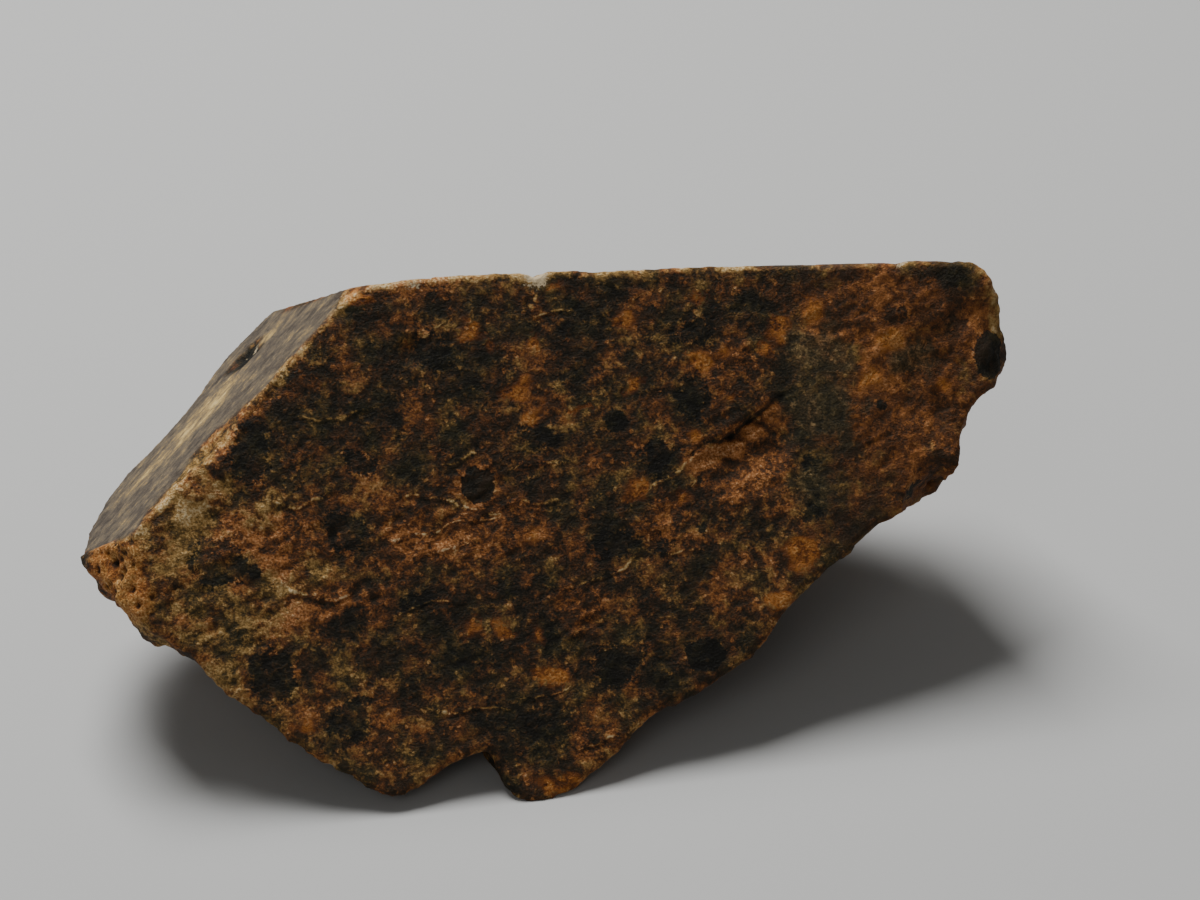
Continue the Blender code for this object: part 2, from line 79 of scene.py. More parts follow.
# Smooth noises that shape the surface: the size of the lumps and a seed
GRAIN = (0.45, 13)
FINE_GRAIN = (0.25, 14)
LUMPS = (0.8, 16)
CHIP_BAND = (1.6, 17)
CHIP_EDGE = (0.5, 18)
RIM_EDGE = (0.9, 19)
CHIP_FLOOR = (0.35, 20)
SKIN_SWELLS = (1.5, 21)
SKIN_LUMPS = (0.7, 22)

# Ripples on the rough parts of the face: length, width, angle in degrees and seed
RIPPLES = (1.3, 0.42, 20.0, 15)

# Pushes that make the outlines of marks ragged: the size of the lumps, the reach and a seed
LOOSE_PUSHES = ((1.3, 0.45, 1), (0.5, 0.25, 4))
TIGHT_PUSHES = ((0.7, 0.18, 7),)
CRACK_PUSHES = ((1.2, 0.35, 23), (0.5, 0.14, 10))

# How much of the fine grain is in the grain, and how coarse the face is where it is mustard or plain
FINE_GRAIN_SHARE = 0.6
TAN_COARSENESS = 0.7
PLAIN_COARSENESS = 0.25

# Heights of the relief of the big face, the cuts and the skin, in millimetres
FACE_GRAIN_HEIGHT = 0.016
RIPPLE_HEIGHT = 0.05
ROUGH_GRAIN_HEIGHT = 0.03
LUMP_HEIGHT = 0.04
CUT_GRAIN_HEIGHT = 0.006
SKIN_SWELL_HEIGHT = 0.15
SKIN_LUMP_HEIGHT = 0.09
SKIN_GRAIN_HEIGHT = 0.05
EDGE_GRAIN_HEIGHT = 0.03
CHIP_DEPTH = 0.09
PIT_DEPTH = 0.16
PIT_SIZE = 0.5
PIT_EDGE = 0.55

# The chipped band beside the left cut and the thin rim under the top cut: how wide they are, how much
# their two noises widen them, and how fast they fade
CHIPS_WIDTH = 0.45
CHIPS_SWING = 0.6
CHIPS_FINE_SWING = 0.25
CHIPS_FADE = 0.35
RIM_WIDTH = 0.22
RIM_SWING = 0.2
RIM_FADE = 0.15
RIM_DEPTH = 1.0

# Both reach farther on the broken skin near the face
SKIN_WEAR = 1.2
SKIN_WEAR_DEPTH = 1.8
SKIN_WEAR_FADE = 0.4

# The marks of the left cut lie on its surface, down to this depth under it
FACET_REACH = 1.6

# Cracks: a low ridge with a ditch on one side, and how far a crack is felt
CRACK_WIDTH = 0.08
CRACK_HEIGHT = 0.02
DITCH_DEPTH = 0.03
DITCH_OFFSET = 0.14
CRACK_REACH = 0.45
CRACK_FADE = 0.15
LIP_WIDTH = 0.09
LIP_DEPTH = 0.08

# The right end is more evenly weathered, from this u on
CALM_FROM = 11.0
CALM_FADE = 4.0

# Ridges and knolls are heights above the surface around, smoothed with so many passes
RIDGE_PASSES = 3
KNOLL_PASSES = 24

# The floor, which reaches so many metres to each side, and the light of the room
FLOOR_HALF = 3.0
FLOOR_COLOUR = (0.50, 0.50, 0.49)
LIGHTS_TARGET = (0.0, 0.0, 8.0)
ROOM_COLOUR = (1.0, 0.99, 0.97)
ROOM_STRENGTH = 0.10

# Camera
CAMERA_LENS = 85.0
CAMERA_AZIMUTH = math.radians(-10.0)
CAMERA_ELEVATION = math.radians(35.0)
CAMERA_DISTANCE = 115.3
CAMERA_TARGET = (4.24, 14.01, -0.51)

# Dark chondrules with a clear edge: u, v, half width and half height
CHONDRULES = (
    (-0.8, 13.1, 0.72, 0.74), (7.8, 5.2, 0.80, 0.72), (21.2, 16.3, 0.85, 1.10), (-10.1, 10.6, 0.28, 0.28),
    # The chondrule at u 17.7, v 10.7 is a painted shadow: it darkens the underside of the overhang at the
    # lower right, which lies in shade
    (5.1, 15.1, 0.50, 0.50), (17.7, 10.7, 0.75, 0.85), (16.2, 14.7, 0.26, 0.26), (8.2, 10.4, 0.22, 0.22),
)
# Dark patches with a ragged edge
DARK_PATCHES = (
    (-5.5, 14.4, 0.66, 0.62), (-9.8, 15.3, 0.95, 1.15), (-6.4, 11.8, 0.80, 0.95), (-11.5, 11.0, 1.05, 1.10),
    (6.6, 13.4, 0.70, 0.90), (6.6, 9.9, 0.45, 0.45), (1.9, 14.8, 0.80, 0.75), (19.6, 19.9, 1.10, 0.50),
    (17.2, 18.4, 0.60, 0.50), (4.5, 10.1, 1.20, 0.60), (8.4, 15.7, 0.80, 1.00), (-2.0, 18.6, 0.90, 0.80),
    (4.2, 5.2, 1.20, 0.90), (-9.9, 6.3, 0.90, 1.20), (-6.9, 4.2, 0.80, 0.90), (16.9, 10.9, 0.60, 0.40),
    (-3.5, 8.7, 0.70, 0.40), (12.9, 10.6, 0.45, 0.45), (13.0, 12.5, 0.35, 0.35), (8.7, 18.5, 0.80, 0.50),
)
# Dark patches that fade into the stone
DIM_PATCHES = (
    (-1.0, 17.6, 1.60, 1.30), (3.9, 18.2, 1.40, 1.60), (5.5, 19.6, 0.60, 0.60), (4.8, 8.2, 1.00, 0.70),
    (0.7, 3.0, 1.20, 0.80), (2.7, 1.9, 0.40, 0.40), (0.1, 8.7, 0.40, 0.40), (1.4, 7.1, 0.50, 1.00),
    (-0.6, 6.3, 0.60, 0.60), (-1.9, 6.1, 0.60, 0.60), (-6.7, 8.1, 0.90, 0.60), (-10.6, 7.9, 0.50, 0.50),
    (-4.3, 5.1, 0.60, 0.60), (-3.9, 16.3, 0.60, 0.60), (10.9, 12.1, 0.60, 0.40), (-2.0, 20.6, 0.80, 0.80),
    (1.6, 4.0, 0.30, 0.30), (17.9, 16.6, 0.70, 0.70), (14.4, 13.2, 0.60, 0.90), (15.4, 18.9, 0.70, 0.50),
    (16.5, 13.6, 0.45, 0.45), (-7.0, 18.0, 1.20, 0.70), (10.5, 19.6, 1.60, 0.60), (6.5, 17.2, 0.80, 1.40),
    (18.8, 11.7, 0.60, 0.70),
)
# Grey-green patches
GREY_PATCHES = (
    (13.8, 14.7, 1.40, 1.40), (13.6, 17.0, 1.30, 1.20), (17.9, 16.6, 0.70, 0.70), (13.0, 11.6, 0.90, 0.90),
)
# Small orange patches
RUST_SPOTS = (
    (12.2, 8.9, 0.70, 0.62), (-1.5, 7.2, 0.45, 0.40), (-0.2, 7.1, 0.35, 0.35), (0.9, 7.0, 0.25, 0.40),
    (1.1, 10.8, 0.24, 0.24), (1.8, 15.8, 0.35, 0.35), (2.2, 18.5, 0.35, 0.35), (1.2, 17.0, 0.55, 0.35),
    (-0.5, 19.4, 0.45, 0.50), (0.1, 18.8, 0.31, 0.31), (5.9, 19.2, 0.45, 0.40), (5.8, 16.5, 0.40, 0.35),
    (3.8, 15.5, 0.31, 0.20), (9.9, 17.4, 0.31, 0.31), (9.7, 15.7, 0.20, 0.20), (8.3, 14.2, 0.31, 0.31),
    (12.3, 18.2, 0.60, 0.50), (11.6, 17.6, 0.35, 0.35), (8.8, 17.3, 0.60, 0.50), (15.9, 15.8, 0.50, 0.40),
    (19.0, 15.3, 0.41, 0.31), (16.9, 17.3, 0.61, 0.45), (13.7, 18.9, 0.37, 0.37), (1.3, 5.1, 0.55, 0.45),
    (1.3, 0.6, 0.81, 0.45), (-8.8, 4.4, 0.41, 0.31), (11.2, 7.2, 0.60, 0.35), (3.2, 20.9, 0.50, 0.30),
    (7.4, 11.6, 0.40, 0.30), (5.6, 12.2, 0.50, 0.35), (-4.8, 20.9, 0.60, 0.35), (9.0, 19.9, 0.40, 0.30),
)
# Broad rough zones, stained orange
RUST_ZONES = (
    (17.5, 14.8, 2.6, 3.7), (10.1, 13.0, 2.1, 1.9), (-1.3, 11.2, 3.7, 1.1), (-6.8, 9.1, 2.0, 0.6),
    (2.8, 7.4, 0.9, 1.4), (6.2, 10.9, 1.2, 1.0), (-0.8, 13.1, 1.1, 1.1), (11.3, 14.6, 0.9, 0.5),
    (-8.6, 11.5, 2.6, 1.0), (16.4, 18.6, 3.2, 1.5), (20.4, 17.6, 1.0, 1.4), (9.6, 17.2, 1.6, 0.7),
)
# The slope under the lip of the fissure, painted lighter as painted light where the lip shades it
FISSURE_SLOPE = (
    (11.5, 14.75, 0.45, 0.42), (10.7, 14.15, 0.60, 0.36), (9.6, 13.5, 0.70, 0.32), (8.6, 13.0, 0.70, 0.25),
)
# Pale mustard zones at the left end of the face
TAN_ZONES = (
    (-12.9, 11.2, 2.6, 1.9), (-11.0, 8.6, 2.6, 1.5), (-13.6, 9.6, 2.2, 1.8), (-8.2, 10.2, 1.6, 0.9),
    (-12.4, 13.4, 1.6, 1.0), (-9.6, 12.8, 1.0, 0.7), (-11.9, 6.6, 1.2, 1.0),
)
# The honeycombed corner, the pale right rim and the larger chips beside the left cut
LEFT_CORNER = ((-15.7, 11.2, 1.2, 1.2), (-15.0, 9.9, 0.8, 0.9))
RIGHT_RIM = ((22.1, 18.8, 0.95, 1.45), (21.7, 17.3, 0.40, 0.50))
EDGE_CHIPS = ((-8.2, 19.0, 0.75, 0.45), (-10.5, 16.1, 0.70, 0.45), (-11.9, 14.6, 0.50, 0.40))
# The pit in the left cut, its crystals and gold streaks there, as distance along the cut and depth
VUG = ((0.85, 6.9, 0.85, 0.85),)
CRYSTALS = ((1.35, 6.75, 0.20, 0.22), (0.75, 7.3, 0.10, 0.10))
GOLD_ZONES = ((-2.2, 5.4, 2.4, 1.6), (-5.4, 5.8, 1.4, 0.7), (1.9, 6.2, 1.4, 0.6))
# Thin cracks, each with a pale line painted along its ridge as a highlight
CRACKS = (
    ((-3.7, 4.2), (-3.1, 4.0), (-1.9, 3.9), (-0.6, 4.0)),
    ((0.2, 4.3), (1.3, 4.2), (1.9, 4.4)),
    ((2.5, 2.1), (3.1, 2.3), (4.4, 2.3)),
    ((1.7, 8.7), (3.8, 8.9), (4.9, 9.2), (5.5, 9.6), (6.4, 9.6), (6.8, 9.4), (8.0, 9.3)),
    ((5.8, 9.7), (6.0, 10.3)),
    ((-3.0, 10.5), (-2.0, 10.6), (-1.2, 10.6)),
    ((-8.8, 9.7), (-7.4, 9.2), (-6.4, 9.3)),
    ((-4.5, 8.3), (-2.8, 8.4), (-1.8, 8.5)),
    ((1.2, 13.6), (2.6, 13.8)),
    ((1.4, 12.2), (2.5, 12.3)),
    ((5.3, 20.6), (5.8, 20.2), (6.4, 20.2)),
    ((-3.0, 19.0), (-2.8, 18.8), (-2.4, 19.4), (-1.7, 19.8)),
    ((2.4, 20.8), (2.3, 19.7), (3.5, 19.9)),
    ((-7.7, 16.5), (-5.9, 16.4), (-4.9, 16.5)),
    ((-1.9, 14.1), (-0.8, 14.3)),
    ((8.6, 13.6), (8.2, 13.4), (7.2, 12.7), (6.3, 12.3)),
    ((9.3, 13.3), (8.6, 12.8), (7.9, 12.2)),
    ((-3.9, 13.0), (-2.6, 12.6), (-0.4, 12.1), (1.4, 12.2)),
    ((-4.6, 11.4), (-3.2, 11.3), (-1.9, 11.6), (-0.2, 11.8)),
    ((-9.0, 13.2), (-7.9, 12.9), (-6.8, 13.3)),
)
# The line under the lip of the fissure, sunk a little in the relief and painted dark as the lip's shadow
FISSURE_LIP = (
    ((12.1, 15.5), (11.6, 15.35), (10.95, 14.75), (10.45, 14.62), (9.95, 14.2), (8.9, 13.9), (8.1, 13.4)),
)
# Cream chips on the edges: u, v, half width, half height
CREAM_CHIPS = (
    (2.4, 21.3, 0.42, 0.45), (-2.6, 21.45, 0.25, 0.2), (17.7, 20.5, 0.25, 0.2), (21.9, 19.3, 0.35, 0.9),
    (21.6, 20.2, 0.5, 0.3),
)


def smooth(x):
    """Rise smoothly from 0 to 1 while x goes from 0 to 1."""
    x = np.clip(x, 0.0, 1.0)
    return x * x * (3.0 - 2.0 * x)


class FaceFrame:
    """The frame of the big sawn face, found from the mount that lies on it."""

    def __init__(self, record):
        mount = next(mount for mount in record["mounts"] if mount["name"] == FACE_MOUNT)
        outward = Vector(mount["axis"]).normalized()
        self.right = Vector((1.0, 0.0, 0.0))
        self.up = outward.cross(self.right)
        self.into = -outward
        u, v = FACE_MOUNT_AT
        self.origin = Vector(mount["pos_m"]) - (self.right * u + self.up * v) * MM
        self.axes = np.array((self.right, self.up, self.into))

    def point(self, u, v, w):
        """The place in the scene of a point in the frame of the face."""
        return self.origin + (self.right * u + self.up * v + self.into * w) * MM

    def measure(self, points):
        """The places in the scene as u, v and w."""
        return (points - np.array(self.origin)) @ self.axes.T / MM


def plane_distance(uvw, point, along, slope):
    """How far points lie inside a saw cut that crosses the face along a line."""
    side = np.array((-along[1], along[0])) / math.hypot(*along)
    lean = math.cos(math.atan(slope))
    reach = (uvw[:, :2] - np.array(point)) @ side
    return (slope * uvw[:, 2] - reach) * lean


def left_cut_distance(uvw):
    """How far points lie inside the left saw cut."""
    return plane_distance(uvw, LEFT_CUT_POINT, LEFT_CUT_ALONG, LEFT_CUT_FLARE)


def along_cut(uvw):
    """Places by their distance along the left saw cut and their depth behind the face."""
    along = (uvw[:, :2] - np.array(LEFT_CUT_POINT)) @ np.array(LEFT_CUT_ALONG)
    return np.stack((along, uvw[:, 2], np.zeros(len(uvw))), axis=1)


def top_cut_distance(uvw):
    """How far points lie inside the top saw cut."""
    return plane_distance(uvw, TOP_CUT_POINT, TOP_CUT_ALONG, -TOP_CUT_DIP)


def even_net(node):
    """A copy of the stone with an even net of small faces."""
    rough = bpy.data.objects.new("rough_stone", node.data.copy())
    bpy.context.scene.collection.objects.link(rough)
    remesh = rough.modifiers.new("net", "REMESH")
    remesh.mode = "VOXEL"
    remesh.voxel_size = NET_STEP * MM
    evaluated = rough.evaluated_get(bpy.context.evaluated_depsgraph_get())
    data = bpy.data.meshes.new_from_object(evaluated)
    bpy.data.objects.remove(rough, do_unlink=True)
    data.materials.clear()
    return bpy.data.objects.new("meteorite", data)


def read_points(data):
    """The points of a mesh as rows of x, y and z."""
    points = np.empty(len(data.vertices) * 3)
    data.vertices.foreach_get("co", points)
    return points.reshape(-1, 3)


def write_points(data, points):
    """Move the points of a mesh."""
    data.vertices.foreach_set("co", points.ravel())
    data.update()


def read_normals(data):
    """The normals at the points of a mesh."""
    normals = np.empty(len(data.vertices) * 3, np.float32)
    data.vertex_normals.foreach_get("vector", normals)
    return normals.reshape(-1, 3).astype(float)


def refine(data, face):
    """Halve the net on the big face and the left saw cut."""
    mesh = bmesh.new()
    mesh.from_mesh(data)
    uvw = face.measure(np.array([vertex.co for vertex in mesh.verts]))
    depth = uvw[:, 2]
    near_left_cut = (left_cut_distance(uvw) < LEFT_CUT_FINE_REACH) & (depth < LEFT_CUT_FINE_DEPTH)
    shown = near_left_cut | (depth < FINE_DEPTH)
    edges = [edge for edge in mesh.edges if all(shown[vertex.index] for vertex in edge.verts)]
    bmesh.ops.subdivide_edges(mesh, edges=edges, cuts=1, use_grid_fill=True)
    bmesh.ops.triangulate(mesh, faces=[item for item in mesh.faces if len(item.verts) > 4])
    mesh.to_mesh(data)
    mesh.free()


def noise_at(points, size, seed):
    """Smooth noise with lumps of a size in millimetres, from about -1 to 1."""
    shift = Vector([seed * step for step in SEED_SHIFT])
    return np.array([noise.noise(Vector(point) / size + shift) for point in points])


def streaks_at(uvw, length, width, angle, seed):
    """Noise drawn out along a direction in the face."""
    turn = math.radians(angle)
    along = uvw[:, 0] * math.cos(turn) + uvw[:, 1] * math.sin(turn)
    across = uvw[:, 1] * math.cos(turn) - uvw[:, 0] * math.sin(turn)
    stretched = np.stack((along / length, across / width, uvw[:, 2] / width), axis=1)
    return noise_at(stretched, 1.0, seed)


def mark_distance(uvw, marks):
    """How far points lie outside the nearest of some round marks, in millimetres."""
    nearest = np.full(len(uvw), FAR)
    for u, v, half_width, half_height in marks:
        size = (half_width + half_height) / 2.0
        offset = (uvw - np.array((u, v, 0.0))) / np.array((half_width, half_height, size))
        nearest = np.minimum(nearest, (np.linalg.norm(offset, axis=1) - 1.0) * size)
    return nearest


def zone(uvw, marks, reach, fade):
    """From 0 at a reach outside some round marks, up to 1 a fade farther in."""
    return smooth((reach - mark_distance(uvw, marks)) / fade)


def crack_sides(uvw, lines):
    """The signed distance to the nearest of some broken lines, and how strong it is there."""
    place = uvw[:, :2]
    nearest = np.full(len(place), FAR)
    signed = np.full(len(place), FAR)
    for line in lines:
        for start, end in zip(line, line[1:]):
            start = np.array(start)
            step = np.array(end) - start
            length = np.linalg.norm(step)
            share = np.clip(((place - start) @ step) / length**2, 0.0, 1.0)
            offset = place - start - share[:, None] * step
            distance = np.linalg.norm(offset, axis=1)
            side = np.sign(step[0] * offset[:, 1] - step[1] * offset[:, 0])
            closer = distance < nearest
            nearest[closer] = distance[closer]
            signed[closer] = (distance * side)[closer]
    return signed, smooth((CRACK_REACH - nearest) / CRACK_FADE)


def store(data, name, values):
    """Keep a number for each point of a mesh, for the material to read."""
    attribute = data.attributes.new(name, "FLOAT", "POINT")
    attribute.data.foreach_set("value", values.astype(np.float32))


def pits_at(points, size):
    """How far inside a pit each point lies, from 0 at its edge to 1 in its middle."""
    nearest = np.array([noise.voronoi(Vector(point) / size)[0][0] for point in points])
    return smooth(1.0 - nearest / PIT_EDGE)


def warped(uvw, pushes):
    """Points pushed about by smooth noises, each with its size and reach in millimetres and a seed."""
    for size, reach, seed in pushes:
        offsets = [noise_at(uvw, size, seed + axis) for axis in range(3)]
        uvw = uvw + reach * np.stack(offsets, axis=1)
    return uvw


class Net:
    """The points of a mesh and their neighbours, for smoothing."""

    def __init__(self, data):
        edges = np.empty(len(data.edges) * 2, np.int32)
        data.edges.foreach_get("vertices", edges)
        self.first, self.second = edges.reshape(-1, 2).T
        self.count = len(data.vertices)
        ends = np.concatenate((self.first, self.second))
        self.around = np.bincount(ends, minlength=self.count)

    def average(self, values):
        """The mean of each point's neighbours."""
        total = np.bincount(self.first, values[self.second], self.count)
        total += np.bincount(self.second, values[self.first], self.count)
        return total / self.around

    def smoothed(self, values, passes, share=1.0):
        """Numbers at the points, or rows of them, blended with their neighbours."""
        if values.ndim == 2:
            return np.stack([self.smoothed(column, passes, share) for column in values.T], axis=1)
        for _ in range(passes):
            values = values + share * (self.average(values) - values)
        return values

    def rise(self, points, normals, passes):
        """How far each point stands above the smoothed surface, in millimetres."""
        return ((points - self.smoothed(points, passes)) * normals).sum(axis=1) / MM


def settle_on_solid(points, node):
    """Each point's nearest place on the solid, and the solid's normal there."""
    corners_of_faces = [face.vertices for face in node.data.polygons]
    tree = BVHTree.FromPolygons([vertex.co for vertex in node.data.vertices], corners_of_faces)
    places, normals = [], []
    for point in points:
        place, normal, _, _ = tree.find_nearest(point)
        places.append(place)
        normals.append(normal)
    return np.array(places), np.array(normals)


def plane_normal(along, slope):
    """The outward direction of a saw cut, in the frame of the face."""
    side = np.array((-along[1], along[0])) / math.hypot(*along)
    return np.array((*side, -slope)) * math.cos(math.atan(slope))


def saw_masks(uvw, normals, net):
    """How much each point belongs to the big face and to the other two saw cuts."""
    planes = (
        (uvw[:, 2], np.array((0.0, 0.0, -1.0))),
        (left_cut_distance(uvw), plane_normal(LEFT_CUT_ALONG, LEFT_CUT_FLARE)),
        (top_cut_distance(uvw), plane_normal(TOP_CUT_ALONG, -TOP_CUT_DIP)),
    )
    masks = []
    for distance, normal in planes:
        flat = (np.abs(distance) < SAWN_TOLERANCE) & (normals @ normal > SAWN_FACING)
        masks.append(net.smoothed(flat.astype(float), SAWN_PASSES, SAWN_SHARE))
    return masks


def distance_to(uvw, chosen):
    """How far each point is from the nearest of the chosen ones, in millimetres."""
    tree = KDTree(int(chosen.sum()))
    for index, point in enumerate(uvw[chosen]):
        tree.insert(point, index)
    tree.balance()
    return np.array([tree.find(point)[2] for point in uvw])


def settle(data, node, face, net):
    """Lay the net on the solid, soften the weathered skin and part fill the fissure.

    Gives how much each point belongs to each saw cut, and how much it belongs to the softened skin.
    """
    points, solid_normals = settle_on_solid(read_points(data), node)
    uvw = face.measure(points)
    masks = saw_masks(uvw, solid_normals @ face.axes.T, net)
    skin = smooth(distance_to(uvw, np.maximum.reduce(masks) > 0.5) / SKIN_FADE)
    points += skin[:, None] * (net.smoothed(points, SKIN_PASSES, SKIN_SHARE) - points)
    in_fissure = zone(uvw * (1.0, 1.0, 0.0), FISSURE_SLOPE, FISSURE_FILL_REACH, FISSURE_FILL_FADE)
    points -= np.outer(in_fissure * FISSURE_FILL * uvw[:, 2], face.axes[2]) * MM
    write_points(data, points)
    return masks, skin


class Places:
    """Places on the stone, how they lie to the saw cuts, and the same places pushed about."""

    def __init__(self, uvw, masks):
        self.uvw = uvw
        self.depth = uvw[:, 2]
        self.from_left = left_cut_distance(uvw)
        self.from_top = top_cut_distance(uvw)
        self.on_front, self.on_left, on_top = masks
        self.on_cut = np.maximum(self.on_left, on_top)
        self.sawn = np.maximum(self.on_front, self.on_cut)
        self.loose = warped(uvw, LOOSE_PUSHES)
        self.tight = warped(uvw, TIGHT_PUSHES)
        self.on_facet = along_cut(uvw) + (self.from_left > FACET_REACH)[:, None] * FAR


def find_zones(at):
    """How much each point lies in the broad zones of the stone."""
    shallow = at.tight * (1.0, 1.0, 0.4)
    return {
        "rough": zone(at.loose, RUST_ZONES, reach=0.8, fade=1.6),
        "tan": zone(at.loose, TAN_ZONES, reach=0.6, fade=1.2),
        "corner": zone(shallow, LEFT_CORNER, reach=0.3, fade=0.4) * (1.0 - at.on_cut),
        "right_rim": zone(shallow, RIGHT_RIM, reach=0.2, fade=0.4) * (1.0 - at.on_cut),
        "calm": smooth((at.uvw[:, 0] - CALM_FROM) / CALM_FADE),
    }


def find_marks(at):
    """How far each point lies outside the marks of each kind, in millimetres."""
    return {
        "chondrule": mark_distance(at.tight, CHONDRULES),
        "patch": mark_distance(at.loose, DARK_PATCHES),
        "dim": mark_distance(at.loose, DIM_PATCHES),
        "grey": mark_distance(at.loose, GREY_PATCHES),
        "rust": mark_distance(at.loose, RUST_SPOTS),
        "slope": mark_distance(at.tight, FISSURE_SLOPE),
        "gold": mark_distance(along_cut(at.loose), GOLD_ZONES),
        "chip": np.minimum(mark_distance(at.tight, CREAM_CHIPS), mark_distance(at.on_facet, CRYSTALS)),
    }


def find_cracks(at):
    """The signed distance to the cracks and their strength, and the strength of the line under the fissure's
    lip, painted dark as its shadow.
    """
    jagged = warped(at.uvw, CRACK_PUSHES)
    crack, cracked = crack_sides(jagged, CRACKS)
    lip, lipped = crack_sides(jagged, FISSURE_LIP)
    return {"crack": crack, "cracked": cracked, "lip": lipped * np.exp(-((lip / LIP_WIDTH) ** 2))}


def find_wear(at, corner):
    """How much each point belongs to the chips along the left cut and to the rim along the top cut."""
    on_skin = SKIN_WEAR * (1.0 - at.sawn) * smooth((SKIN_WEAR_DEPTH - at.depth) / SKIN_WEAR_FADE)
    width = CHIPS_WIDTH + on_skin
    width += CHIPS_SWING * noise_at(at.uvw, *CHIP_BAND) + CHIPS_FINE_SWING * noise_at(at.uvw, *CHIP_EDGE)
    chips = smooth((width - np.maximum(at.from_left, at.depth)) / CHIPS_FADE)
    chips = np.maximum(chips, zone(at.tight, EDGE_CHIPS, reach=0.1, fade=0.3))
    chips *= (1.0 - at.on_cut) * (1.0 - 0.8 * corner)
    width = RIM_WIDTH + on_skin + RIM_SWING * noise_at(at.uvw, *RIM_EDGE)
    rim = smooth((width - np.maximum(at.from_top, at.depth)) / RIM_FADE)
    return {"chips": chips, "rim": rim * (1.0 - at.on_cut) * (at.depth < RIM_DEPTH)}


def find_all(at):
    """Every number that the relief and the material read, by name."""
    numbers = {
        "cut": at.on_cut,
        "left_cut": at.on_left,
        "along": along_cut(at.uvw)[:, 0],
        "depth": at.depth,
    }
    numbers.update(find_zones(at))
    numbers.update(find_marks(at))
    numbers.update(find_cracks(at))
    numbers.update(find_wear(at, numbers["corner"]))
    numbers["pits"] = numbers["corner"] * pits_at(at.uvw, PIT_SIZE)
    return numbers


def face_relief(at, numbers, grain):
    """Heights on the big face: grain, ripples and lumps where it is coarse, cracks and chips."""
    coarse = np.clip(numbers["rough"] + TAN_COARSENESS * numbers["tan"] + PLAIN_COARSENESS, 0.0, 1.0)
    ripples = 0.5 - 2.0 * np.abs(streaks_at(at.uvw, *RIPPLES))
    rough = RIPPLE_HEIGHT * ripples + ROUGH_GRAIN_HEIGHT * grain + LUMP_HEIGHT * noise_at(at.uvw, *LUMPS)
    ridge = CRACK_HEIGHT * np.exp(-((numbers["crack"] / CRACK_WIDTH) ** 2))
    ditch = DITCH_DEPTH * np.exp(-(((numbers["crack"] + DITCH_OFFSET) / CRACK_WIDTH) ** 2))
    broken = numbers["chips"] * (0.7 + noise_at(at.uvw, *CHIP_FLOOR))
    height = FACE_GRAIN_HEIGHT * grain + coarse * rough + numbers["cracked"] * (ridge - ditch)
    return height - LIP_DEPTH * numbers["lip"] - CHIP_DEPTH * broken


def skin_relief(at, grain, skin):
    """Heights on the broken skin, lumpier away from the saw cuts."""
    swells = SKIN_SWELL_HEIGHT * noise_at(at.uvw, *SKIN_SWELLS)
    lumps = SKIN_LUMP_HEIGHT * noise_at(at.uvw, *SKIN_LUMPS)
    return skin * (swells + lumps + SKIN_GRAIN_HEIGHT * grain) + EDGE_GRAIN_HEIGHT * grain


def relief(at, numbers, skin):
    """Heights all over the stone, in millimetres."""
    grain = noise_at(at.uvw, *GRAIN) + FINE_GRAIN_SHARE * noise_at(at.uvw, *FINE_GRAIN)
    height = at.on_cut * CUT_GRAIN_HEIGHT * grain
    height += at.on_front * face_relief(at, numbers, grain)
    height += (1.0 - at.sawn) * skin_relief(at, grain, skin)
    return height - PIT_DEPTH * numbers["pits"]


def build_surface(node, face):
    """The fine surface of the stone, with its relief and the numbers that its material reads."""
    stone = even_net(node)
    data = stone.data
    refine(data, face)
    net = Net(data)
    masks, skin = settle(data, node, face, net)
    points = read_points(data)
    normals = read_normals(data)
    at = Places(face.measure(points), masks)
    numbers = find_all(at)

    points += normals * relief(at, numbers, skin)[:, None] * MM
    points[:, 2] = np.maximum(points[:, 2], 0.0)
    write_points(data, points)

    # Cracks are drawn on the big face only, and the pit in the left cut gets the same painted shade as the
    # small ones
    numbers["cracked"] *= at.on_front
    vug = zone(at.on_facet, VUG, reach=0.0, fade=0.2) * (1.0 - at.on_cut)
    numbers["pits"] = np.maximum(numbers["pits"], vug)
    numbers["ridge"] = net.rise(points, normals, RIDGE_PASSES)
    numbers["knoll"] = net.rise(points, normals, KNOLL_PASSES)
    for name, values in numbers.items():
        store(data, name, values)
    data.shade_smooth()
    bpy.context.scene.collection.objects.link(stone)
    return stone


